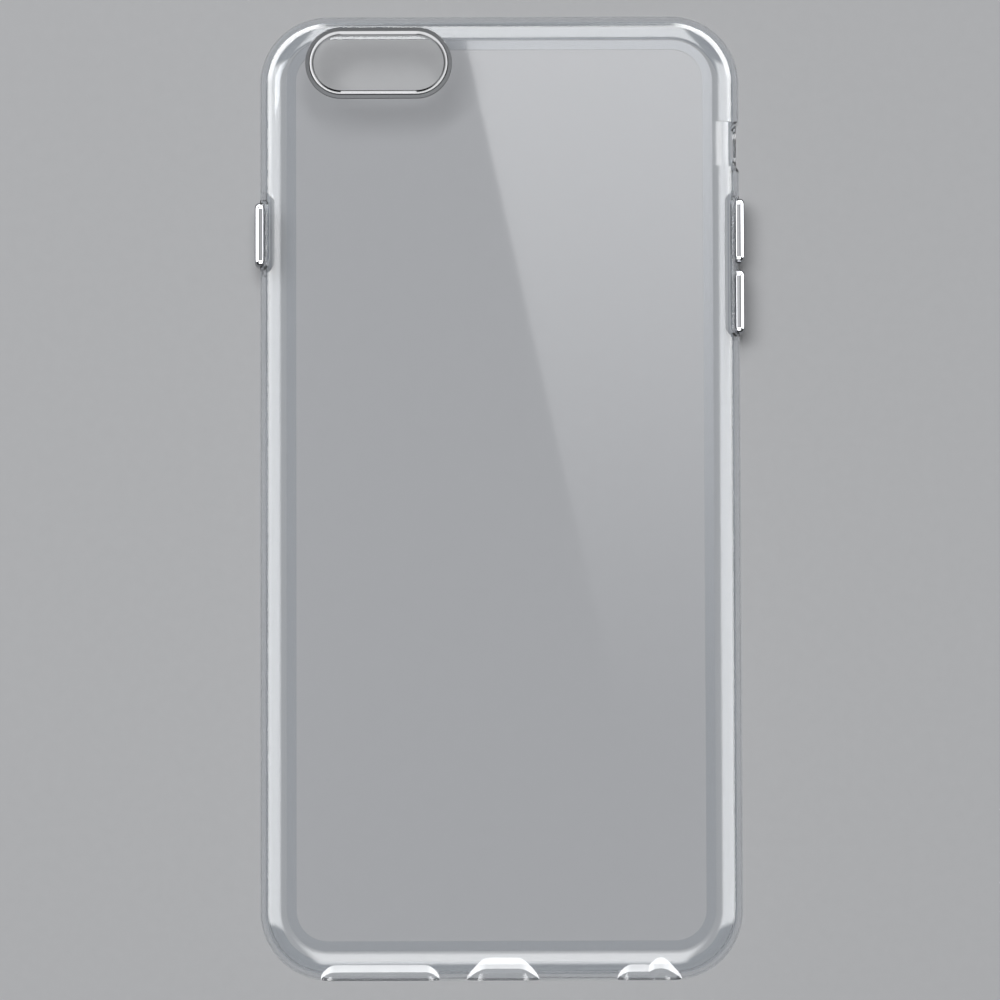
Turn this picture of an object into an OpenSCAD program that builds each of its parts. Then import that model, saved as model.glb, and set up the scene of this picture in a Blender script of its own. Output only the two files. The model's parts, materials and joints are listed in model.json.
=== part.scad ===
// Clear protective case for a slab phone.
// A hard clear back panel is bonded into a softer clear bumper frame.
// The case lies on its open side: the lip rim is at Z = 0, the outer back
// face looks up, and +Y points to the top edge of the phone.
// Sections of the rim are drawn in (x, y) with x = 0 on the outermost side,
// x negative towards the middle of the case, and y as the height.

/* [Case] */
// Outer width across the sides
case_width = 79.6; // [78:0.1:82]
// Outer length from the bottom edge to the top edge
case_length = 160.2; // [156:0.1:164]
// Outer corner radius seen from the back
corner_radius = 11.3; // [10.5:0.1:13]
// Radius of the rounded edge between side and back
edge_radius = 4.5; // [4.3:0.1:4.8]
// Height of the widest line of the case above the lip rim
side_height = 4.4; // [4.2:0.1:4.7]
// Wall thickness, also the thickness of the back
wall = 0.9; // [0.8:0.05:1.1]

/* [Lip] */
// How far the front lip reaches in from the side
lip_reach = 3.1; // [2.8:0.1:3.3]
// Radius of the outer edge of the lip
lip_outer_radius = 1.2; // [0.8:0.1:1.5]
// Radius of the inner edge of the lip
lip_inner_radius = 0.35; // [0.2:0.05:0.45]

/* [Seam between frame and panel] */
// Width of the ledge that the panel is bonded to
ledge_width = 1.6; // [1.0:0.1:2.0]
// Thickness of the ledge
ledge_thickness = 0.45; // [0.4:0.05:0.5]

/* [Camera ring] */
// Centre of the ring across the case
ring_x = -20.0; // [-22:0.1:-19]
// Centre of the ring along the case
ring_y = 71.8; // [71.5:0.1:72.5]
// Outer length of the ring
ring_length = 24.3; // [22:0.1:26]
// Outer height of the ring
ring_height = 11.9; // [11:0.1:12.5]
// Width of the ring's band
ring_band = 1.35; // [1.1:0.05:1.5]
// Height of the ring's inner rim above the back face
ring_proud = 0.5; // [0.3:0.05:0.8]

/* [Side buttons] */
// Length of each button cap
button_length = 10.8; // [10:0.1:11.2]
// Height of each button cap
button_height = 4.2; // [3.8:0.1:4.4]
// How far a cap stands out from the side
button_proud = 0.85; // [0.5:0.05:1.2]
// Corner radius of a cap seen from the side
button_corner = 1.2; // [1:0.1:1.6]
// Radius of the rounded edge of a cap
button_edge = 0.8; // [0.3:0.05:0.8]
// Gap between a cap and the window around it
button_gap = 0.45; // [0.35:0.05:0.5]
// Place of the power button along the left side
power_y = 43.5; // [42:0.1:45]
// Place of the volume up button along the right side
volume_up_y = 44.0; // [43.5:0.1:45]
// Place of the volume down button along the right side
volume_down_y = 32.1; // [31:0.1:32.3]

/* [Flexible webs under the buttons] */
// Thickness of a web
web_thickness = 0.3; // [0.25:0.05:0.35]
// Depth of the web's outer face inside the side of the case
web_depth = 0.15; // [0.1:0.05:0.2]
// Radius to which a web is bowed
web_radius = 3.5; // [3.4:0.05:3.6]
// Bond line between a cap and its web
bond_line = 0.03; // [0.02:0.01:0.05]

/* [Thumb recesses at the buttons] */
// How far a recess reaches in from the side
recess_reach = 2.5; // [2.3:0.1:2.6]
// Greatest depth of a recess
recess_depth = 0.4; // [0.3:0.05:0.45]
// Corner radius of a recess
recess_corner = 3.3; // [2.8:0.1:3.5]
// Length of the recess at the power button
power_recess_length = 14.1; // [13.5:0.1:15]
// Length of the recess shared by the volume buttons
volume_recess_length = 25.1; // [24.6:0.1:26]

/* [Switch opening] */
// Place of the switch opening along the right side
switch_y = 58.2; // [57.5:0.1:59]
// Length of the thinned side around the switch opening
switch_relief_length = 7.5; // [7:0.1:8]
// Depth of the thinned side around the switch opening
switch_relief_depth = 0.45; // [0.3:0.05:0.5]
// Length of the switch opening
switch_length = 6.9; // [6:0.1:7]
// Height of the switch opening
switch_height = 4.8; // [4.4:0.1:5]

/* [Bottom openings] */
// Centre of the speaker opening
speaker_x = -20.0; // [-21:0.1:-19]
// Width of the speaker opening
speaker_width = 19.4; // [18:0.1:20]
// Height of the speaker and microphone openings
slot_height = 5.9; // [5:0.1:6.2]
// Corner radius of the speaker and microphone openings
slot_corner = 2.3; // [1.5:0.1:2.4]
// Centre of the charging port opening
port_x = 0.2; // [-0.5:0.1:0.5]
// Width of the charging port opening
port_width = 11.9; // [11:0.1:13]
// Height of the charging port opening
port_height = 6.9; // [6:0.1:6.9]
// Left end of the microphone opening
microphone_x = 19.1; // [18:0.1:19.5]
// Centre of the headphone jack opening
jack_x = 26.1; // [25.5:0.1:26.3]
// Radius of the headphone jack opening
jack_radius = 3.45; // [3.2:0.05:3.45]

/* [Hidden] */
half_width = case_width / 2;
half_length = case_length / 2;
// Height of the outer back face and of the inner back face
back_z = side_height + edge_radius;
inner_back_z = back_z - wall;
pocket_radius = edge_radius - wall;
// Outline radius of the flat panel and of the part under the seam
panel_radius = corner_radius - edge_radius;
ledge_radius = panel_radius - ledge_width;
ring_radius = ring_height / 2;
window_height = button_height + 2 * button_gap;
window_corner = button_corner + button_gap;
power_window_length = button_length + 2 * button_gap;
volume_y = (volume_up_y + volume_down_y) / 2;
volume_window_length = volume_up_y - volume_down_y + button_length + 2 * button_gap;
// The recess facet is a chord of the rounded edge
chord_half_angle = acos((edge_radius - recess_depth) / edge_radius);
recess_start_angle = asin((edge_radius - recess_reach) / edge_radius);
recess_tilt = recess_start_angle + chord_half_angle;
recess_start_z = side_height + edge_radius * cos(recess_start_angle);
// Cutting tools reach this far past the faces that they open
past = 1;
// Depth of a cut that passes right through the side wall
through = edge_radius;
$fn = 96;

// ---------- outlines ----------

module round_rect(width, height, radius) {
    square([width - 2 * radius, height], center = true);
    square([width, height - 2 * radius], center = true);
    for (x = [-1, 1], y = [-1, 1])
        translate([x * (width / 2 - radius), y * (height / 2 - radius)])
            circle(radius);
}

module stadium(width, height) {
    square([width - height, height], center = true);
    for (x = [-1, 1])
        translate([x * (width - height) / 2, 0])
            circle(height / 2);
}

// Carries a section around a rectangle with round corners
module sweep_round_rect(width, length, radius) {
    for (turn = [0:3]) {
        along_length = turn % 2 == 0;
        run = (along_length ? length : width) - 2 * radius;
        reach = (along_length ? width : length) / 2;
        rotate(90 * turn) {
            if (run > 0)
                translate([reach, 0, 0])
                    rotate([90, 0, 0])
                        linear_extrude(run, center = true)
                            children();
            translate([reach - radius, run / 2, 0])
                rotate_extrude(angle = 90)
                    translate([radius, 0])
                        children();
        }
    }
}

// Extrudes an outline drawn in (Y, Z) along X
module along_x(from, to) {
    translate([from, 0, 0])
        rotate([90, 0, 90])
            linear_extrude(to - from)
                children();
}

// Extrudes an outline drawn in (X, Z) along Y, both ways from the middle
module along_y(length) {
    rotate([90, 0, 0])
        linear_extrude(length, center = true)
            children();
}

// Moves a right hand feature to the left side
module on_side(side) {
    if (side < 0)
        mirror([1, 0, 0])
            children();
    else
        children();
}

// ---------- bumper frame ----------

// Outer shape of the rim, from the lip to the seam at the back
module rim_outline() {
    intersection() {
        translate([-edge_radius, side_height])
            circle(edge_radius);
        translate([-edge_radius, side_height])
            square(edge_radius);
    }
    translate([-lip_reach, lip_outer_radius])
        square([lip_reach, side_height - lip_outer_radius]);
    translate([-lip_reach + lip_inner_radius, 0])
        square([lip_reach - lip_inner_radius - lip_outer_radius, lip_outer_radius]);
    translate([-lip_outer_radius, lip_outer_radius])
        circle(lip_outer_radius);
    translate([-lip_reach, lip_inner_radius])
        square([lip_reach - lip_outer_radius, lip_outer_radius]);
    translate([-lip_reach + lip_inner_radius, lip_inner_radius])
        circle(lip_inner_radius);
}

module rim_section() {
    difference() {
        rim_outline();
        translate([-edge_radius, side_height])
            circle(pocket_radius);
    }
    translate([-edge_radius - ledge_width, inner_back_z])
        square([ledge_width, ledge_thickness]);
}

// Window in the side wall in which a button cap and its web sit
module button_window(y, length) {
    translate([0, y, side_height])
        along_x(half_width - through, half_width + past)
            round_rect(length, window_height, window_corner);
}

// Flat facet cut across the rounded edge behind a button. The cutting block
// starts a little before the facet's own edge, which is where it leaves the arc.
module thumb_recess(y, length) {
    lead = 0.35;
    translate([half_width - recess_reach, y, recess_start_z])
        rotate([0, recess_tilt, 0])
            rotate(-90)
                linear_extrude(edge_radius)
                    translate([0, edge_radius - lead])
                        round_rect(length, 2 * edge_radius, recess_corner);
}

// Stretch of the side that is set back so that a finger reaches the switch
module switch_relief() {
    start = switch_relief_length / 2;
    slope = switch_relief_depth + past;
    intersection() {
        translate([half_width, switch_y, 0])
            along_y(switch_relief_length + 2 * slope)
                difference() {
                    translate([-edge_radius, -past])
                        square([edge_radius + past, back_z + 2 * past]);
                    translate([-switch_relief_depth - edge_radius, side_height])
                        circle(edge_radius);
                    translate([-switch_relief_depth - edge_radius, -2 * past])
                        square([edge_radius, side_height + 2 * past]);
                }
        translate([half_width, switch_y, -2 * past])
            linear_extrude(back_z + 4 * past)
                polygon([
                    [-edge_radius, -start], [-switch_relief_depth, -start],
                    [past, -start - slope], [past, start + slope],
                    [-switch_relief_depth, start], [-edge_radius, start]
                ]);
    }
}

module switch_window() {
    translate([0, switch_y, side_height])
        along_x(half_width - through, half_width + past)
            round_rect(switch_length, switch_height, switch_height / 2 - 0.2);
}

// Openings in the bottom edge for speaker, charging port, microphone and jack
module bottom_openings() {
    microphone_width = jack_x - microphone_x;
    translate([0, through / 2 - half_length - past / 2, side_height])
        along_y(through + past) {
            translate([speaker_x, 0])
                round_rect(speaker_width, slot_height, slot_corner);
            translate([port_x, 0])
                stadium(port_width, port_height);
            translate([microphone_x + microphone_width / 2, 0])
                round_rect(microphone_width, slot_height, slot_corner);
            translate([jack_x, 0])
                circle(jack_radius);
        }
}

// Seat of the camera ring and the hole through it
module camera_cut() {
    translate([ring_x, ring_y, inner_back_z])
        linear_extrude(wall + past)
            stadium(ring_length, ring_height);
    translate([ring_x, ring_y, side_height])
        linear_extrude(edge_radius + past)
            stadium(ring_length - 2 * ring_band, ring_height - 2 * ring_band);
}

module bumper_frame() {
    color("lightsteelblue", 0.45)
        difference() {
            sweep_round_rect(case_width, case_length, corner_radius)
                rim_section();
            camera_cut();
            bottom_openings();
            switch_relief();
            switch_window();
            on_side(-1) {
                button_window(power_y, power_window_length);
                thumb_recess(power_y, power_recess_length);
            }
            on_side(1) {
                button_window(volume_y, volume_window_length);
                thumb_recess(volume_y, volume_recess_length);
            }
        }
}

// ---------- back panel ----------

module back_panel() {
    upper_z = inner_back_z + ledge_thickness;
    color("aliceblue", 0.35)
        difference() {
            union() {
                translate([0, 0, upper_z])
                    linear_extrude(wall - ledge_thickness)
                        round_rect(
                            case_width - 2 * edge_radius,
                            case_length - 2 * edge_radius,
                            panel_radius
                        );
                translate([0, 0, inner_back_z])
                    linear_extrude(ledge_thickness)
                        round_rect(
                            case_width - 2 * (edge_radius + ledge_width),
                            case_length - 2 * (edge_radius + ledge_width),
                            ledge_radius
                        );
            }
            translate([ring_x, ring_y, inner_back_z - past])
                linear_extrude(wall + 2 * past)
                    stadium(ring_length, ring_height);
        }
}

// ---------- camera ring ----------

// Sloping outer step with a raised bright rim on its inner side
module ring_section() {
    top = back_z + ring_proud;
    step = ring_band * 0.55;
    bevel = 0.1;
    polygon([
        [0, inner_back_z], [0, back_z + 0.05],
        [-step, back_z + ring_proud / 2], [-step - bevel, top],
        [-ring_band + bevel, top], [-ring_band, top - bevel],
        [-ring_band, inner_back_z]
    ]);
}

module camera_ring() {
    color("silver")
        translate([ring_x, ring_y, 0])
            sweep_round_rect(ring_length, ring_height, ring_radius)
                ring_section();
}

// ---------- buttons and webs ----------

module bowed_cylinder(radius, length) {
    translate([half_width - web_depth - web_radius, 0, side_height])
        along_y(length)
            circle(radius);
}

// Cap with rounded edges, hollowed to sit on its bowed web
module button_cap(y) {
    root = half_width - 2;
    depth = button_proud + 2;
    color("gainsboro")
        translate([0, y, 0])
            difference() {
                intersection() {
                    translate([0, 0, side_height])
                        along_x(root, root + depth)
                            round_rect(button_length, button_height, button_corner);
                    translate([root + depth / 2, 0, 0])
                        linear_extrude(back_z)
                            round_rect(depth, button_length, button_edge);
                    translate([root + depth / 2, 0, side_height])
                        along_y(button_length)
                            round_rect(depth, button_height, button_edge);
                }
                bowed_cylinder(web_radius + bond_line, button_length + past);
            }
}

// Thin bowed web that closes a button window and carries the caps
module button_web(y, length) {
    color("lightcyan", 0.5)
        translate([0, y, 0])
            intersection() {
                difference() {
                    bowed_cylinder(web_radius, length);
                    bowed_cylinder(web_radius - web_thickness, length + past);
                }
                translate([0, 0, side_height])
                    along_x(half_width - through / 2, half_width)
                        round_rect(length, window_height, window_corner);
            }
}

module power_button() {
    on_side(-1)
        button_cap(power_y);
}

module volume_up_button() {
    button_cap(volume_up_y);
}

module volume_down_button() {
    button_cap(volume_down_y);
}

module power_button_web() {
    on_side(-1)
        button_web(power_y, power_window_length);
}

module volume_button_web() {
    button_web(volume_y, volume_window_length);
}

bumper_frame();
back_panel();
camera_ring();
power_button();
volume_up_button();
volume_down_button();
power_button_web();
volume_button_web();
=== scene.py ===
# %% [markdown]
# # A clear phone case
# The case is a hard clear back plate in a soft clear bumper, with a silvery
# camera ring and three button caps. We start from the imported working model,
# which gives every place and size, and rebuild its pieces with finer surfaces,
# because clear glossy plastic shows each flat of a coarse mesh.

# %% Load the working model
import json
import math

import bmesh
import bpy
from mathutils import Matrix, Vector

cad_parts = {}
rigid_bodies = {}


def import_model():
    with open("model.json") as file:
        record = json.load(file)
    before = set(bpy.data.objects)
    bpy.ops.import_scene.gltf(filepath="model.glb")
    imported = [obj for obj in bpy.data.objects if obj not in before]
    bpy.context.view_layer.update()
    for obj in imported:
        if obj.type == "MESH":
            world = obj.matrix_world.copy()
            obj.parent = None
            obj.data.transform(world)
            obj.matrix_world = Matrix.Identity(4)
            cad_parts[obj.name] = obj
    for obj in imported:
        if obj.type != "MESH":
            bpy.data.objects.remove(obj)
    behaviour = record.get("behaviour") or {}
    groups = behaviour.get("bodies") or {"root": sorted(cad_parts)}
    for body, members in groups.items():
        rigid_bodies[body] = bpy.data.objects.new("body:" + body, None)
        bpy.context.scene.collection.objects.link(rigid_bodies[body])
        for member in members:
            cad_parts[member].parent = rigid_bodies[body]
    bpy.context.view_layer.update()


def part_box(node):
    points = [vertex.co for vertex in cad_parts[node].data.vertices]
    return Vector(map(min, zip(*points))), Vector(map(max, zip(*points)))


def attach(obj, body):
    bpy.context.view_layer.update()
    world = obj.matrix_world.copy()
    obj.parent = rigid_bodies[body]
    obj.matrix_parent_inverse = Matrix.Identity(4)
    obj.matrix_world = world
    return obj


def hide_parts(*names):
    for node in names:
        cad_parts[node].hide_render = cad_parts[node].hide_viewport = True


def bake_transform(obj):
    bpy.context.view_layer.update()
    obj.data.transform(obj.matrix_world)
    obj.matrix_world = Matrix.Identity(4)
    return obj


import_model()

MM = 0.001

# %% [markdown]
# ## Sizes
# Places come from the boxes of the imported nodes. The radii of the rounded
# edges can't be read from a box, so they are named here once, in metres.

# %% Sizes of the case
case_low, case_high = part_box("bumper_frame")
half_width, half_length, back_z = case_high
ring_low, ring_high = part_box("camera_ring")
ring_centre = (ring_low + ring_high) / 2
ring_size = ring_high - ring_low

edge_radius = 4.5 * MM
side_z = back_z - edge_radius
corner_radius = 11.3 * MM
wall = 0.9 * MM
inner_back_z = back_z - wall
pocket_radius = edge_radius - wall
lip_reach = 3.1 * MM
lip_outer_radius = 1.2 * MM
lip_inner_radius = 0.35 * MM
ledge_width = 1.6 * MM
ledge_thickness = 0.45 * MM
ring_band = 1.35 * MM
PAST = 1 * MM  # how far a cutting block reaches past the surface that it cuts
print("back face at", round(back_z / MM, 2), "mm, widest line at", round(side_z / MM, 2), "mm")

# %% [markdown]
# ## Tools of the bench
# Every solid here starts as a cube. Its edges are rounded with the bevel
# operator, and solids are then cut from each other with boolean modifiers,
# in the same order in which a toolmaker would cut the mould.

# %% Selecting and starting a piece
def deselect():
    """Leaves edit mode and lets go of every piece."""
    if bpy.context.object and bpy.context.object.mode != "OBJECT":
        bpy.ops.object.mode_set(mode="OBJECT")
    bpy.ops.object.select_all(action="DESELECT")


def make_active(piece):
    deselect()
    piece.select_set(True)
    bpy.context.view_layer.objects.active = piece


def add_block(name, low, high):
    """A cube moved and scaled to fill the space between two corners."""
    deselect()
    low, high = Vector(low), Vector(high)
    bpy.ops.mesh.primitive_cube_add(size=1, location=(low + high) / 2, scale=high - low)
    piece = bpy.context.object
    piece.name = name
    bpy.ops.object.transform_apply(location=True, rotation=True, scale=True)
    return piece


# %% Picking edges and faces by their place
NEAR = 0.002 * MM  # two places closer than this count as one


def pick_edges(piece, wanted):
    """Enters edit mode with only the edges selected whose two ends pass the test."""
    make_active(piece)
    bpy.ops.object.mode_set(mode="EDIT")
    bpy.ops.mesh.select_mode(type="EDGE")
    bpy.ops.mesh.select_all(action="DESELECT")
    mesh = bmesh.from_edit_mesh(piece.data)
    for edge in mesh.edges:
        if wanted(edge.verts[0].co, edge.verts[1].co):
            edge.select_set(True)
    bmesh.update_edit_mesh(piece.data)


def pick_faces(piece, wanted):
    """Enters edit mode with only the faces selected that pass the test."""
    make_active(piece)
    bpy.ops.object.mode_set(mode="EDIT")
    bpy.ops.mesh.select_mode(type="FACE")
    bpy.ops.mesh.select_all(action="DESELECT")
    mesh = bmesh.from_edit_mesh(piece.data)
    mesh.normal_update()
    for face in mesh.faces:
        if wanted(face):
            face.select_set(True)
    bmesh.update_edit_mesh(piece.data)


def round_edges(piece, wanted, radius, segments):
    pick_edges(piece, wanted)
    bpy.ops.mesh.bevel(
        offset=radius, offset_type="OFFSET", segments=segments, profile=0.5, affect="EDGES"
    )
    bpy.ops.object.mode_set(mode="OBJECT")


def at_height(z):
    return lambda a, b: abs(a.z - z) < NEAR and abs(b.z - z) < NEAR


def add_round_block(name, low, high, axis, radius, segments):
    """A block whose four edges along one axis are rounded."""
    piece = add_block(name, low, high)
    across = [i for i in range(3) if i != axis]
    round_edges(
        piece, lambda a, b: all(abs(a[i] - b[i]) < NEAR for i in across), radius, segments
    )
    return piece


# %% Cutting one solid with others
def combine(piece, tools, operation="DIFFERENCE"):
    """Cuts each tool from the piece, or keeps only what they share, and removes the tool."""
    for tool in tools:
        modifier = piece.modifiers.new("combine", "BOOLEAN")
        modifier.operation = operation
        modifier.solver = "EXACT"
        modifier.object = tool
        make_active(piece)
        bpy.ops.object.modifier_apply(modifier=modifier.name)
        bpy.data.objects.remove(tool)
    print(piece.name, "after", operation.lower(), "has", len(piece.data.polygons), "faces")


def tidy_surface(piece, sharp_angle):
    """Merges doubles, smooths what bends less than the angle and keeps flat faces flat."""
    make_active(piece)
    bpy.ops.object.mode_set(mode="EDIT")
    bpy.ops.mesh.select_all(action="SELECT")
    bpy.ops.mesh.remove_doubles(threshold=0.001 * MM)
    bpy.ops.mesh.dissolve_degenerate(threshold=0.0005 * MM)
    bpy.ops.object.mode_set(mode="OBJECT")
    bpy.ops.object.shade_smooth_by_angle(angle=math.radians(sharp_angle))
    modifier = piece.modifiers.new("weighted", "WEIGHTED_NORMAL")
    modifier.keep_sharp = True
    bpy.ops.object.modifier_apply(modifier=modifier.name)
    print(piece.name, "has", len(piece.data.polygons), "faces")


# %% [markdown]
# ## Bumper frame
# The real frame is injection moulded in clear thermoplastic polyurethane. It
# wraps the phone's round edge, so its section is a curved channel. We round a
# full block on the outside, hollow it with a second rounded block in the shape
# of the phone, and open the front inside the lip and the back inside the seam.

# %% Outer shape of the frame
CORNER_STEPS = 24
EDGE_STEPS = 20
LIP_STEPS = 8


def add_case_body(name):
    body = add_round_block(name, case_low, case_high, 2, corner_radius, CORNER_STEPS)
    round_edges(body, at_height(back_z), edge_radius, EDGE_STEPS)
    round_edges(body, at_height(0), lip_outer_radius, LIP_STEPS)
    return body


bumper = add_case_body("bumper")
print("outer body:", len(bumper.data.polygons), "faces")

# %% The phone's space, hollowed out
def inset_block(name, inset, low_z, high_z):
    """A block with the case's outline moved inwards by inset."""
    x, y = half_width - inset, half_length - inset
    low, high = (-x, -y, low_z), (x, y, high_z)
    return add_round_block(name, low, high, 2, corner_radius - inset, CORNER_STEPS)


pocket_low = side_z - pocket_radius
pocket = inset_block("pocket", wall, pocket_low, inner_back_z)
round_edges(pocket, at_height(inner_back_z), pocket_radius - NEAR, EDGE_STEPS)
round_edges(pocket, at_height(pocket_low), pocket_radius - NEAR, EDGE_STEPS)
mouth = inset_block("mouth", lip_reach, -PAST, side_z)
combine(bumper, [pocket, mouth])

# %% Seat of the camera ring and the hole for the cameras
def stadium_block(name, inset, low_z, high_z):
    """A block with the ring's long round outline moved inwards by inset."""
    x, y = ring_size.x / 2 - inset, ring_size.y / 2 - inset
    low = (ring_centre.x - x, ring_centre.y - y, low_z)
    high = (ring_centre.x + x, ring_centre.y + y, high_z)
    return add_round_block(name, low, high, 2, y - NEAR, CORNER_STEPS)


SEAM = 0.02 * MM  # gap between pieces that sit against each other
ring_seat = stadium_block("ring_seat", -SEAM, inner_back_z - SEAM, back_z + PAST)
camera_hole = stadium_block("camera_hole", ring_band, side_z, back_z + PAST)
combine(bumper, [ring_seat, camera_hole])

# %% Opening for the back panel, with a ledge under its edge
seam_z = inner_back_z + ledge_thickness
# a hair off the line where the rounding starts, because booleans dislike shared edges
seam_inset = edge_radius - 5 * NEAR
seam_opening = inset_block("seam_opening", seam_inset, seam_z, back_z + PAST)
ledge_opening = inset_block(
    "ledge_opening", edge_radius + ledge_width, inner_back_z - PAST, seam_z + PAST
)
combine(bumper, [seam_opening, ledge_opening])

# %% Softened inner edge of the lip
def on_lip_edge(a, b):
    return at_height(0)(a, b) and all(
        abs(p.x) < half_width - lip_reach + NEAR and abs(p.y) < half_length - lip_reach + NEAR
        for p in (a, b)
    )


round_edges(bumper, on_lip_edge, lip_inner_radius, LIP_STEPS)
print("with the softened lip:", len(bumper.data.polygons), "faces")

# %% [markdown]
# ### Openings of the frame
# The speaker, port, microphone and jack openings are straight cuts through
# the bottom edge. The switch opening sits in a stretch of the side that is set
# back, so that a fingertip reaches in.

# %% Openings in the bottom edge
OPENING_STEPS = 12
OPENINGS = {  # left end, right end, height and corner radius, in millimetres
    "speaker": (-29.7, -10.3, 5.9, 2.3),
    "port": (-5.75, 6.15, 6.9, 3.449),
    "microphone": (19.1, 26.1, 5.9, 2.3),
    "jack": (22.65, 29.55, 6.9, 3.449),
}
openings = []
for name, (left, right, height, radius) in OPENINGS.items():
    low = (left * MM, -half_length - PAST, side_z - height / 2 * MM)
    high = (right * MM, -half_length + edge_radius, side_z + height / 2 * MM)
    openings.append(add_round_block(name, low, high, 1, radius * MM, OPENING_STEPS))
combine(bumper, openings)

# %% Set-back side around the switch
switch_y = 58.2 * MM
relief_depth = 0.45 * MM
relief_half = 3.75 * MM
switch_half_length = 3.45 * MM
switch_half_height = 2.4 * MM
switch_corner = 2.2 * MM
relief = add_block(
    "relief",
    (half_width - edge_radius, switch_y - relief_half, -PAST),
    (half_width - relief_depth, switch_y + relief_half, back_z + PAST),
)
pick_faces(relief, lambda face: face.normal.x > 0.9)
flare = relief_depth + PAST
bpy.ops.mesh.extrude_region_move(TRANSFORM_OT_translate={"value": (flare, 0, 0)})
bpy.ops.transform.resize(value=(1, 1 + flare / relief_half, 1))
bpy.ops.object.mode_set(mode="OBJECT")
kept_side = add_case_body("kept_side")
kept_side.location.x = -relief_depth
make_active(kept_side)
bpy.ops.object.transform_apply(location=True)
combine(relief, [kept_side])
switch_window = add_round_block(
    "switch_window",
    (half_width - edge_radius, switch_y - switch_half_length, side_z - switch_half_height),
    (half_width + PAST, switch_y + switch_half_length, side_z + switch_half_height),
    0, switch_corner, OPENING_STEPS,
)
combine(bumper, [relief, switch_window])

# %% [markdown]
# ### Windows and thumb recesses for the buttons
# A cap needs a window with a narrow gap all round. Behind it the rounded edge
# is shaved to a flat facet with round corners, where the thumb comes down.

# %% Windows and recesses
button_gap = 0.45 * MM
button_corner = 1.2 * MM
recess_reach = 2.5 * MM
recess_depth = 0.4 * MM
recess_corner = 3.3 * MM
recess_lead = 0.35 * MM
BUTTON_STEPS = 12
RECESS_STEPS = 16
start_angle = math.asin((edge_radius - recess_reach) / edge_radius)
recess_tilt = start_angle + math.acos((edge_radius - recess_depth) / edge_radius)
recess_top_z = side_z + edge_radius * math.cos(start_angle)


def cut_button_place(side, nodes, recess_length):
    """Cuts the window and the recess for one button or for a pair of them."""
    boxes = [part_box(node) for node in nodes]
    low_y = min(low.y for low, high in boxes)
    high_y = max(high.y for low, high in boxes)
    low_z, high_z = boxes[0][0].z, boxes[0][1].z
    ends = sorted([side * (half_width - edge_radius), side * (half_width + PAST)])
    window = add_round_block(
        "window",
        (ends[0], low_y - button_gap, low_z - button_gap),
        (ends[1], high_y + button_gap, high_z + button_gap),
        0, button_corner + button_gap, BUTTON_STEPS,
    )
    across = sorted([-side * recess_lead, side * (2 * edge_radius - recess_lead)])
    recess = add_round_block(
        "recess",
        (across[0], -recess_length / 2, 0),
        (across[1], recess_length / 2, edge_radius),
        2, recess_corner, RECESS_STEPS,
    )
    recess.rotation_euler.y = side * recess_tilt
    recess.location = (side * (half_width - recess_reach), (low_y + high_y) / 2, recess_top_z)
    make_active(recess)
    bpy.ops.object.transform_apply(location=True, rotation=True)
    combine(bumper, [recess, window])


cut_button_place(-1, ["power_button"], recess_length=14.1 * MM)
cut_button_place(1, ["volume_up_button", "volume_down_button"], recess_length=25.1 * MM)
tidy_surface(bumper, 15)

# %% [markdown]
# ## Back panel
# The plate is hard clear polycarbonate. Its edge is half-lapped over the
# frame's ledge, so that the back is flush and only a hairline seam shows. We
# inset the bottom face of a rounded slab and push it down for the lap. The
# ring sits in a long round notch in its edge.

# %% Back panel
panel = inset_block("panel", edge_radius + SEAM, seam_z + SEAM, back_z)
pick_faces(panel, lambda face: face.normal.z < -0.9)
bpy.ops.mesh.inset(thickness=ledge_width)
bpy.ops.mesh.extrude_region_move(
    TRANSFORM_OT_translate={"value": (0, 0, inner_back_z - seam_z - SEAM)}
)
bpy.ops.object.mode_set(mode="OBJECT")
combine(panel, [stadium_block("ring_seat", -SEAM, inner_back_z - PAST, back_z + PAST)])
tidy_surface(panel, 30)

# %% [markdown]
# ## Camera ring
# The ring is turned: a circle is extruded and scaled step by step into its
# section, a low sloping step outside and a raised rim inside. The round ring
# is then pulled apart at the middle into a long ring with straight runs.

# %% Section of the ring
ring_radius = ring_size.y / 2
ring_top = ring_high.z
step_in = ring_band * 0.42
RING_SECTION = [  # distance in from the outer edge, and height
    (0.0, back_z + 0.1 * MM), (0.05 * MM, back_z + 0.15 * MM),
    (step_in, back_z + 0.2 * MM), (step_in + 0.05 * MM, ring_top - 0.1 * MM),
    (step_in + 0.16 * MM, ring_top), (ring_band - 0.16 * MM, ring_top),
    (ring_band - 0.04 * MM, ring_top - 0.05 * MM), (ring_band, ring_top - 0.17 * MM),
    (ring_band, inner_back_z),
]
print("ring stands", round((ring_top - back_z) / MM, 2), "mm above the back")

# %% Half a round ring
TURN_STEPS = 128
deselect()
bpy.ops.mesh.primitive_circle_add(
    vertices=TURN_STEPS, radius=ring_radius, location=(0, 0, inner_back_z), fill_type="NOTHING"
)
ring = bpy.context.object
ring.name = "ring"
bpy.ops.object.transform_apply(location=True)
bpy.ops.object.mode_set(mode="EDIT")
bpy.ops.mesh.select_all(action="SELECT")
radius, height = ring_radius, inner_back_z
for inset, z in RING_SECTION:
    bpy.ops.mesh.extrude_region_move(TRANSFORM_OT_translate={"value": (0, 0, z - height)})
    scale = (ring_radius - inset) / radius
    bpy.ops.transform.resize(value=(scale, scale, 1), center_override=(0, 0, z))
    radius, height = ring_radius - inset, z
bpy.ops.mesh.select_all(action="SELECT")
bpy.ops.mesh.bisect(plane_co=(0, 0, 0), plane_no=(1, 0, 0), clear_inner=True)
bpy.ops.object.mode_set(mode="OBJECT")
print("ring half with", len(ring.data.vertices), "points")

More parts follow.
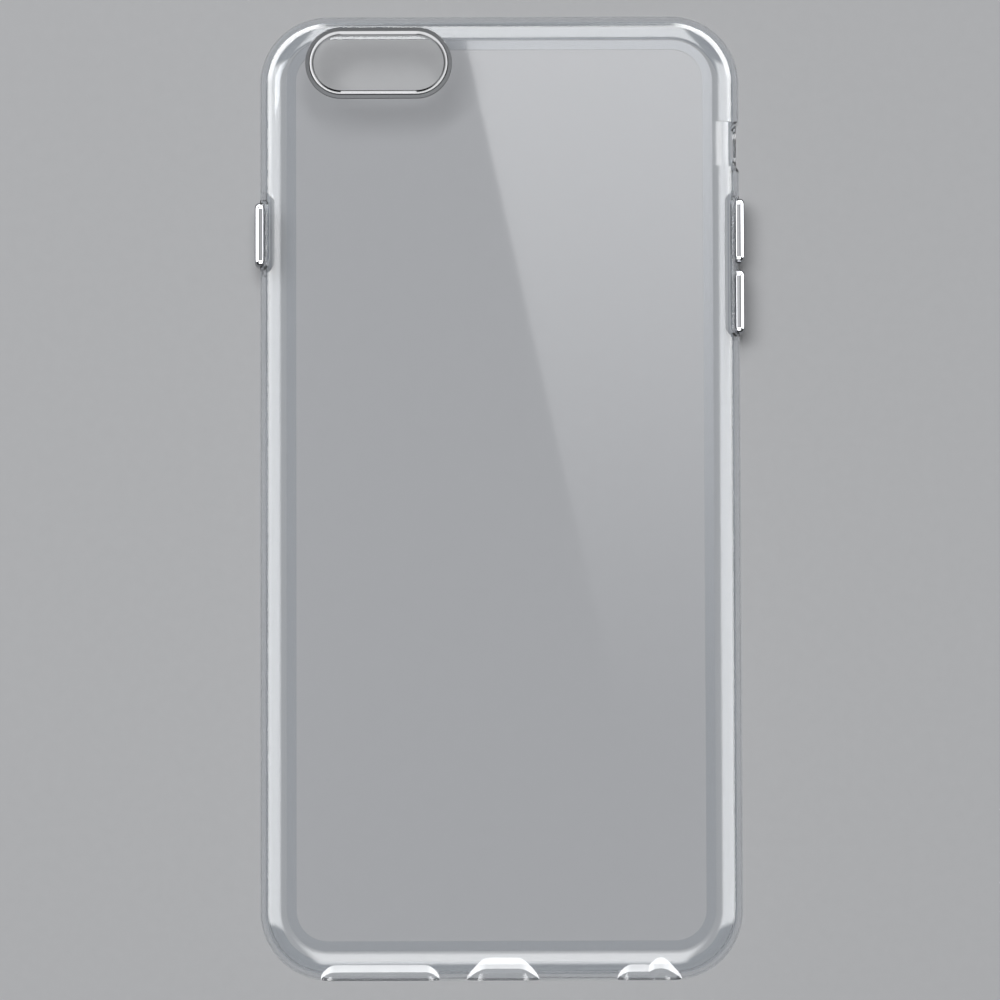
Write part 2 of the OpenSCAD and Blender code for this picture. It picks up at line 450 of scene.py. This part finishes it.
# %% Pull the half ring out and mirror it
straight_half = ring_size.x / 2 - ring_radius
pick_edges(ring, lambda a, b: abs(a.x) < NEAR and abs(b.x) < NEAR)
bpy.ops.mesh.extrude_region_move(TRANSFORM_OT_translate={"value": (-straight_half, 0, 0)})
bpy.ops.mesh.select_all(action="SELECT")
bpy.ops.transform.translate(value=(straight_half, 0, 0))
bpy.ops.object.mode_set(mode="OBJECT")
mirror = ring.modifiers.new("mirror", "MIRROR")
mirror.merge_threshold = NEAR
bpy.ops.object.modifier_apply(modifier=mirror.name)
pick_edges(ring, lambda a, b: False)
bpy.ops.mesh.select_non_manifold()
bpy.ops.mesh.bridge_edge_loops()
bpy.ops.mesh.select_all(action="SELECT")
bpy.ops.transform.translate(value=(ring_centre.x, ring_centre.y, 0))
bpy.ops.mesh.normals_make_consistent(inside=False)
bpy.ops.object.mode_set(mode="OBJECT")
tidy_surface(ring, 30)

# %% [markdown]
# ## Buttons
# Each cap is a small bar with well rounded edges, hollowed underneath to sit
# on a thin bowed web. The web is the flexible skin that lets the cap travel,
# so it is cut from a thin tube to the outline of the window. The two volume
# caps share one window, and each has its own half of the web under it.

# %% Bowed tube that caps and webs share
web_radius = 3.5 * MM
web_thickness = 0.3 * MM
web_depth = 0.15 * MM
bond_line = 0.03 * MM
BOW_STEPS = 192


def add_bowed_cylinder(name, side, radius, low_y, high_y):
    """A cylinder along Y whose round side bows out just under the case's side."""
    deselect()
    bpy.ops.mesh.primitive_cylinder_add(
        vertices=BOW_STEPS, radius=radius, depth=high_y - low_y,
        location=(side * (half_width - web_depth - web_radius), (low_y + high_y) / 2, side_z),
        rotation=(math.pi / 2, 0, 0),
    )
    cylinder = bpy.context.object
    cylinder.name = name
    bpy.ops.object.transform_apply(location=True, rotation=True)
    return cylinder


print("web bows with radius", round(web_radius / MM, 2), "mm")

# %% Button caps
outer_edge = 0.8 * MM
inner_edge = 0.45 * MM


def at_side(x):
    return lambda a, b: abs(a.x - x) < NEAR and abs(b.x - x) < NEAR


def add_cap(name, node, side):
    """A bar with its two rims rounded, hollowed to sit on the bowed web."""
    low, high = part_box(node)
    inner_x, outer_x = (low.x, high.x) if side > 0 else (high.x, low.x)
    cap = add_round_block(name, low, high, 0, button_corner, BUTTON_STEPS)
    round_edges(cap, at_side(outer_x), outer_edge, BUTTON_STEPS)
    round_edges(cap, at_side(inner_x), inner_edge, BUTTON_STEPS - 2)
    seat = add_bowed_cylinder("seat", side, web_radius + bond_line, low.y - PAST, high.y + PAST)
    combine(cap, [seat])
    tidy_surface(cap, 40)
    return cap


power_cap = add_cap("power_cap", "power_button", -1)
volume_up_cap = add_cap("volume_up_cap", "volume_up_button", 1)
volume_down_cap = add_cap("volume_down_cap", "volume_down_button", 1)

# %% Flexible webs
def add_web(name, side, low_y, high_y, node):
    """A web between two places along Y, cut to the outline of the node's window."""
    web = add_bowed_cylinder(name, side, web_radius, low_y, high_y)
    core = add_bowed_cylinder(
        "core", side, web_radius - web_thickness, low_y - PAST, high_y + PAST
    )
    combine(web, [core])
    cap_low, cap_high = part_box("power_button" if side < 0 else "volume_up_button")
    window_low, window_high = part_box(node)
    ends = sorted([side * (half_width - edge_radius / 2), side * half_width])
    window = add_round_block(
        "window",
        (ends[0], window_low.y, cap_low.z - button_gap),
        (ends[1], window_high.y, cap_high.z + button_gap),
        0, button_corner + button_gap, BUTTON_STEPS,
    )
    combine(web, [window], "INTERSECT")
    tidy_surface(web, 40)
    return web


power_web_low, power_web_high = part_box("power_button_web")
volume_web_low, volume_web_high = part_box("volume_button_web")
volume_middle_y = (volume_web_low.y + volume_web_high.y) / 2
power_web = add_web("power_web", -1, power_web_low.y, power_web_high.y, "power_button_web")
volume_up_web = add_web(
    "volume_up_web", 1, volume_middle_y, volume_web_high.y, "volume_button_web"
)
volume_down_web = add_web(
    "volume_down_web", 1, volume_web_low.y, volume_middle_y, "volume_button_web"
)

# %% [markdown]
# ## Which body each piece follows
# Frame, panel and ring are one rigid body. Each cap follows its own slide. On
# the real case a web bends between the two; here each web keeps its place,
# baked into its points, and follows no body.

# %% Rigid pieces
for piece, node, body, slot in (
    (bumper, "bumper_frame", "case", "clear_tpu"),
    (panel, "back_panel", "case", "clear_polycarbonate"),
    (ring, "camera_ring", "case", "silver_ring"),
    (power_cap, "power_button", "power_button", "silver_cap"),
    (volume_up_cap, "volume_up_button", "volume_up_button", "silver_cap"),
    (volume_down_cap, "volume_down_button", "volume_down_button", "silver_cap"),
):
    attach(piece, body)
    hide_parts(node)
    print(piece.name, "follows", body)

# %% Webs baked in place
for web, node, body, side in (
    (power_web, "power_button_web", "power_button", -1),
    (volume_up_web, "volume_button_web", "volume_up_button", 1),
    (volume_down_web, "volume_button_web", "volume_down_button", 1),
):
    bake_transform(web)
    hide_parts(node)
    print(web.name, "bends between", body, "and case")

# %% [markdown]
# ## Materials
# Colours are written as sRGB hex codes, as on a paint card, and one function
# turns them to the linear values that the shader wants.

# %% Colour and node helpers
def linear(code):
    parts = [int(code[i:i + 2], 16) / 255 for i in (0, 2, 4)]
    return [c / 12.92 if c <= 0.04045 else ((c + 0.055) / 1.055) ** 2.4 for c in parts] + [1.0]


def add_node(tree, kind, settings=None, inputs=None):
    """Adds a node, sets its options, and sets or links each of its named inputs."""
    node = tree.nodes.new(kind)
    for name, value in (settings or {}).items():
        setattr(node, name, value)
    for name, value in (inputs or {}).items():
        if isinstance(value, bpy.types.NodeSocket):
            tree.links.new(value, node.inputs[name])
        else:
            node.inputs[name].default_value = value
    return node


def new_material(name):
    material = bpy.data.materials.new(name)
    material.use_nodes = True
    tree = material.node_tree
    tree.nodes.clear()
    output = add_node(tree, "ShaderNodeOutputMaterial")
    place = add_node(tree, "ShaderNodeTexCoord").outputs["Object"]
    return material, tree, output, place


# %% [markdown]
# ### One surface for all moulded and metal parts
# No real surface is quite flat or evenly smooth. One noise, with a grain of a
# real size, dents the surface a little and makes it duller where it is high,
# so that reflections wander slightly, as they do on a real part.

# %% Surface with a grain
def grained_surface(name, grain_mm, grain_height_mm, detail, roughness, spread, look):
    """A shader with the given look, whose roughness spreads both ways by a share."""
    material, tree, output, place = new_material(name)
    grain = add_node(
        tree, "ShaderNodeTexNoise", None,
        {"Vector": place, "Scale": 1 / (grain_mm * MM), "Detail": detail},
    )
    bump = add_node(
        tree, "ShaderNodeBump", None,
        {"Height": grain.outputs["Fac"], "Distance": grain_height_mm * MM, "Strength": 1.0},
    )
    rough = add_node(
        tree, "ShaderNodeMapRange", None,
        {
            "Value": grain.outputs["Fac"],
            "To Min": roughness * (1 - spread), "To Max": roughness * (1 + spread),
        },
    )
    shader = add_node(
        tree, "ShaderNodeBsdfPrincipled", None,
        {"Roughness": rough.outputs["Result"], "Normal": bump.outputs["Normal"], **look},
    )
    tree.links.new(shader.outputs["BSDF"], output.inputs["Surface"])
    print("material", name, "with a grain of", grain_mm, "mm")
    return material


# %% [markdown]
# ### Clear polycarbonate and clear polyurethane
# Both are clear glossy plastics. The polycarbonate plate comes from a polished
# mould, flat and hard. The polyurethane is softer, so its surface has a faint
# slow waviness and a little more haze. The walls of the openings were left
# satin by the mould, and the thin webs are duller than the rest.

# %% Clear plastics
def clear_plastic(name, colour, ior, haze, wave_mm, wave_height_mm, clearness=1.0):
    look = {"Base Color": linear(colour), "IOR": ior, "Transmission Weight": clearness}
    return grained_surface(
        name, wave_mm, wave_height_mm, detail=2.0, roughness=haze, spread=0.4, look=look
    )


# nearly colourless, with sharp reflections and an undisturbed view of the floor
polycarbonate = clear_plastic("clear_polycarbonate", "FAFBFD", 1.585, 0.015, 30, 0.001)
# a little greyer, with reflections whose edges are soft and wavy
polyurethane = clear_plastic("clear_polyurethane", "EDF0F3", 1.50, 0.03, 12, 0.001)
# hazy, so that the window round a cap reads as a pale grey skin
web_skin = clear_plastic("thin_polyurethane_skin", "D9DCE0", 1.50, 0.22, 3, 0.01)
# catches light from all sides, so that the rims of the openings look white
satin = clear_plastic("satin_polyurethane", "F2F3F4", 1.50, 0.6, 3, 0.004, clearness=0.35)

# %% [markdown]
# ### Silvery parts
# The ring is anodised aluminium with a fine satin grain. Its outer step is rougher
# than the rim, and it is also painted a darker grey, a painted shade for the dark
# reflections that the step shows. The real grain is finer than a picture can
# show, so it is drawn coarser here. The caps are moulded plastic with a
# bright plated skin, smooth enough to show long reflections.

# %% Silvery finishes
def silvery(name, colour, roughness, grain_mm, grain_height_mm):
    look = {"Base Color": linear(colour), "Metallic": 1.0}
    return grained_surface(
        name, grain_mm, grain_height_mm, detail=3.0, roughness=roughness, spread=0.3, look=look
    )


# pale silver whose reflections are blurred only a little
anodised = silvery("satin_anodised_aluminium", "E6E7E9", 0.12, 0.15, 0.0006)
# an even mid grey with no clear reflections, darker than the rim: a painted shade on the step
step_painted_shade = silvery("anodised_aluminium_step_painted_shade", "A0A2A5", 0.3, 0.12, 0.003)
# a mirror with a grey tone, which shows the cards as white lines
plated = silvery("bright_plated_plastic", "A6A7AA", 0.05, 0.4, 0.0004)

# %% Which piece is made of what
# clear plastic lets light through to the floor, and leaves no dark patch under it
panel.visible_shadow = False
bumper.visible_shadow = False

for piece, material in (
    (bumper, polyurethane), (panel, polycarbonate), (ring, anodised),
    (power_cap, plated), (volume_up_cap, plated), (volume_down_cap, plated),
    (power_web, web_skin), (volume_up_web, web_skin), (volume_down_web, web_skin),
):
    piece.data.materials.clear()
    piece.data.materials.append(material)
    # a glossy piece would throw bright spots of the cards on the floor
    piece.visible_diffuse = False
    print(piece.name, "is", material.name)


# %% Second finishes, and the painted shade of the ring's step, on some faces
def give_faces(piece, material, wanted):
    """Gives the faces that pass the test a second material of their own."""
    pick_faces(piece, wanted)
    bpy.ops.object.mode_set(mode="OBJECT")
    piece.data.materials.append(material)
    bpy.ops.object.mode_set(mode="EDIT")
    piece.active_material_index = len(piece.data.materials) - 1
    bpy.ops.object.material_slot_assign()
    bpy.ops.object.mode_set(mode="OBJECT")
    print(piece.name, "also has", material.name)


def on_ring_step(face):
    step_top = back_z + 0.32 * MM
    return inner_back_z < face.calc_center_median().z < step_top and face.normal.z > 0.3


# the ring's outer step gets a darker grey, a painted shade
give_faces(ring, step_painted_shade, on_ring_step)


def on_opening_wall(face):
    centre = face.calc_center_median()
    if abs(face.normal.y) > 0.05 or centre.y > edge_radius - half_length:
        return False
    if centre.z < side_z:
        return False
    return any(
        left * MM - NEAR < centre.x < right * MM + NEAR
        and abs(centre.z - side_z) < height / 2 * MM + NEAR
        for left, right, height, corner in OPENINGS.values()
    )


give_faces(bumper, satin, on_opening_wall)

# %% [markdown]
# ## Floor
# A plain pale sheet of matt paper. Clear plastic shows what is behind it, so
# the floor is kept a little below white, to leave room for the bright
# reflections. Its fibres give it a hardly visible mottle.

# %% Floor
floor_gap = 0.05 * MM
deselect()
bpy.ops.mesh.primitive_plane_add(size=6, location=(0, 0, -floor_gap))
floor = bpy.context.object
floor.name = "floor"
paper, paper_tree, paper_output, paper_place = new_material("matt_paper")
fibre_size = 2 * MM
fibres = add_node(
    paper_tree, "ShaderNodeTexNoise", None,
    {"Vector": paper_place, "Scale": 1 / fibre_size, "Detail": 4.0},
)
# sockets 6 and 7 of this node take the two colours, and output 2 is their mix
tone = add_node(
    paper_tree, "ShaderNodeMix", {"data_type": "RGBA"},
    {"Factor": fibres.outputs["Fac"], 6: linear("C9CACC"), 7: linear("CDCED0")},
)
paper_shader = add_node(
    paper_tree, "ShaderNodeBsdfPrincipled", None,
    {"Base Color": tone.outputs[2], "Roughness": 0.9},
)
paper_tree.links.new(paper_shader.outputs["BSDF"], paper_output.inputs["Surface"])
floor.data.materials.append(paper)
print(floor.name, "is", paper.name)

# %% [markdown]
# ## Light
# A large lamp above and a pale surrounding light the floor evenly. The bright
# lines on glossy plastic are reflections, and they need something bright to
# reflect: glowing cards whose light fades to nothing at their edges. The cards
# only show in reflections, so that they don't wash out the floor, and each
# lights only the pieces named for it, as flags would do in a studio.

# %% Surroundings and overhead lamp
world = bpy.data.worlds.new("studio")
bpy.context.scene.world = world
world.use_nodes = True
sky = world.node_tree
background = sky.nodes["Background"]
background.inputs["Color"].default_value = linear("E8E9EB")
# dim at the horizon and brighter overhead, so that the sides keep some dark tones
direction = add_node(sky, "ShaderNodeTexCoord").outputs["Generated"]
rise = add_node(sky, "ShaderNodeSeparateXYZ", None, {"Vector": direction})
dimming = add_node(
    sky, "ShaderNodeMapRange", {"interpolation_type": "SMOOTHSTEP"},
    {"Value": rise.outputs["Z"], "From Min": 0.0, "From Max": 0.8, "To Min": 0.06, "To Max": 0.26},
)
sky.links.new(dimming.outputs["Result"], background.inputs["Strength"])

lamp_data = bpy.data.lights.new("overhead", "AREA")
lamp_data.shape = "RECTANGLE"
lamp_data.size = 1.6
lamp_data.size_y = 1.2
lamp_data.energy = 25
lamp = bpy.data.objects.new("overhead", lamp_data)
lamp.location = (-0.35, 0.5, 1.9)
lamp.rotation_euler = (Vector((0, 0, 0)) - lamp.location).to_track_quat("-Z", "Y").to_euler()
lamp.visible_glossy = False
lamp.visible_transmission = False
bpy.context.scene.collection.objects.link(lamp)
print("lamp at", tuple(round(c, 2) for c in lamp.location), "with", lamp_data.energy, "W")


# %% Glow that fades to nothing
SHORTEST_RAMP = 1e-4  # keeps the two ends of a ramp apart


def fade(tree, value, low, high, ramp):
    """One between low and high, and smoothly down to nothing over the ramps beside them."""
    rise = add_node(
        tree, "ShaderNodeMapRange", {"interpolation_type": "SMOOTHSTEP"},
        {"Value": value, "From Min": low - ramp, "From Max": low + SHORTEST_RAMP},
    )
    drop = add_node(
        tree, "ShaderNodeMapRange", {"interpolation_type": "SMOOTHSTEP"},
        {
            "Value": value, "From Min": high - SHORTEST_RAMP, "From Max": high + ramp,
            "To Min": 1.0, "To Max": 0.0,
        },
    )
    return add_node(
        tree, "ShaderNodeMath", {"operation": "MULTIPLY"},
        {0: rise.outputs["Result"], 1: drop.outputs["Result"]},
    ).outputs[0]


def make_glow(card, strength, share_at):
    """Makes a card glow, by a share that depends on the place on it, and clear elsewhere."""
    material, tree, output, place = new_material(card.name)
    split = add_node(tree, "ShaderNodeSeparateXYZ", None, {"Vector": place})
    share = share_at(tree, split.outputs["X"], split.outputs["Y"])
    glow = add_node(tree, "ShaderNodeEmission", None, {"Strength": strength})
    clear = add_node(tree, "ShaderNodeBsdfTransparent")
    mix = add_node(
        tree, "ShaderNodeMixShader", None, {0: share, 1: clear.outputs[0], 2: glow.outputs[0]}
    )
    tree.links.new(mix.outputs[0], output.inputs["Surface"])
    card.data.materials.append(material)
    card.visible_camera = False
    card.visible_diffuse = False
    card.visible_shadow = False
    print(card.name, "glows with strength", strength)


# %% Which pieces a card lights
def lit_group(name, pieces):
    """The pieces that a card lights, and no others."""
    group = bpy.data.collections.new(name)
    for piece in pieces:
        group.objects.link(piece)
    return group


caps = (power_cap, volume_up_cap, volume_down_cap)
webs = (power_web, volume_up_web, volume_down_web)
rim_group = lit_group("rim_group", (bumper,) + caps + webs)
silver_group = lit_group("silver_group", (ring,) + caps)


# %% Reflection cards
def add_card(name, group, aim, azimuth, height, distance, size, strength, soft):
    """A glowing card seen from aim at an azimuth and a height angle, in degrees.

    The two shares in soft say how much of its width and height is at full strength.
    """
    deselect()
    azimuth, height = math.radians(azimuth), math.radians(height)
    way = Vector((
        math.cos(height) * math.cos(azimuth), math.cos(height) * math.sin(azimuth),
        math.sin(height),
    ))
    bpy.ops.mesh.primitive_plane_add(
        size=1, location=Vector(aim) + way * distance,
        rotation=(-way).to_track_quat("-Z", "Y").to_euler(),
    )
    card = bpy.context.object
    card.name = name
    card.scale = (size[0], size[1], 1)
    edge_x, edge_y = (0.5 * (1 - share) for share in soft)

    def share_at(tree, x, y):
        across = fade(tree, x, -edge_x, edge_x, 0.5 - edge_x)
        along = fade(tree, y, -edge_y, edge_y, 0.5 - edge_y)
        both = add_node(tree, "ShaderNodeMath", {"operation": "MULTIPLY"}, {0: across, 1: along})
        return both.outputs[0]

    card.visible_transmission = False
    card.light_linking.receiver_collection = group
    make_glow(card, strength, share_at)


side_aim = (0, 0.1, 0)
top_aim = (0, half_length, 0)
bottom_aim = (0, -half_length, 0)
# name, lit pieces, aim, azimuth, height angle, distance, size, strength, full shares
add_card("left_card", rim_group, side_aim, 180, 31, 0.85, (0.74, 1.25), 9, (0.27, 0.5))
add_card("right_card", rim_group, side_aim, 0, 31, 0.85, (0.74, 1.25), 9, (0.27, 0.5))
add_card("top_card", rim_group, top_aim, 90, 44, 1.0, (0.65, 1.1), 9, (0.37, 0.2))
add_card("bottom_card", rim_group, bottom_aim, 270, 60, 1.0, (0.68, 1.2), 9, (0.59, 0.6))
add_card("left_corner_card", rim_group, top_aim, 135, 10, 0.6, (1.2, 0.42), 16, (0.5, 0.4))
add_card("right_corner_card", rim_group, top_aim, 45, 10, 0.6, (1.2, 0.42), 16, (0.5, 0.4))
add_card("silver_card", silver_group, ring_centre, 90, 80, 1.65, (0.9, 1.9), 0.9, (0.3, 0.6))

# %% [markdown]
# ### Sheen across the back
# The flat plate mirrors only what hangs near the camera. A card with a slanted
# edge, brightest at its top, gives the plate a diagonal sheen that fades. It is
# a plane with one corner cut away by a bisecting plane.

# %% Slanted card
SHEEN_HEIGHT = 1.5
SHEEN_ENDS = (0.06, 0.36)  # places along Y where the glow begins and where it is full
deselect()
bpy.ops.mesh.primitive_plane_add(
    size=1, location=(0.015, 0.215, SHEEN_HEIGHT), rotation=(math.pi, 0, 0)
)
sheen = bpy.context.object
sheen.name = "sheen_card"
sheen.scale = (0.12, 0.31, 1)
bpy.ops.object.transform_apply(location=True, rotation=True, scale=True)
bpy.ops.object.mode_set(mode="EDIT")
bpy.ops.mesh.select_all(action="SELECT")
bpy.ops.mesh.bisect(
    plane_co=(-0.018, 0.34, SHEEN_HEIGHT), plane_no=(0.976, 0.218, 0), clear_inner=True
)
bpy.ops.object.mode_set(mode="OBJECT")


def sheen_share(tree, x, y):
    rise = add_node(
        tree, "ShaderNodeMapRange", {"interpolation_type": "SMOOTHSTEP"},
        {"Value": y, "From Min": SHEEN_ENDS[0], "From Max": SHEEN_ENDS[1]},
    )
    return rise.outputs["Result"]


make_glow(sheen, 1.9, sheen_share)

# %% [markdown]
# ## Camera
# A long lens from straight above, leaning a little towards the bottom edge,
# so that the case fills the square picture and its sides stay almost parallel.

# %% Camera
camera_data = bpy.data.cameras.new("camera")
camera = bpy.data.objects.new("camera", camera_data)
bpy.context.scene.collection.objects.link(camera)
bpy.context.scene.camera = camera
lean = math.radians(6)
roll = math.radians(0.17)
camera_distance = 1.5
view_height = 165.57 * MM
aim = Vector((-0.07 * MM, -0.7 * MM, side_z))
camera.location = aim + Vector((0, -math.sin(lean), math.cos(lean))) * camera_distance
turned = Matrix.Rotation(lean, 3, "X") @ Matrix.Rotation(-roll, 3, "Z")
camera.rotation_euler = turned.to_euler()
camera_data.lens = camera_data.sensor_width * camera_distance / view_height
camera_data.clip_start = 0.01
print("lens:", round(camera_data.lens), "mm")

bpy.context.scene.view_settings.view_transform = "Standard"
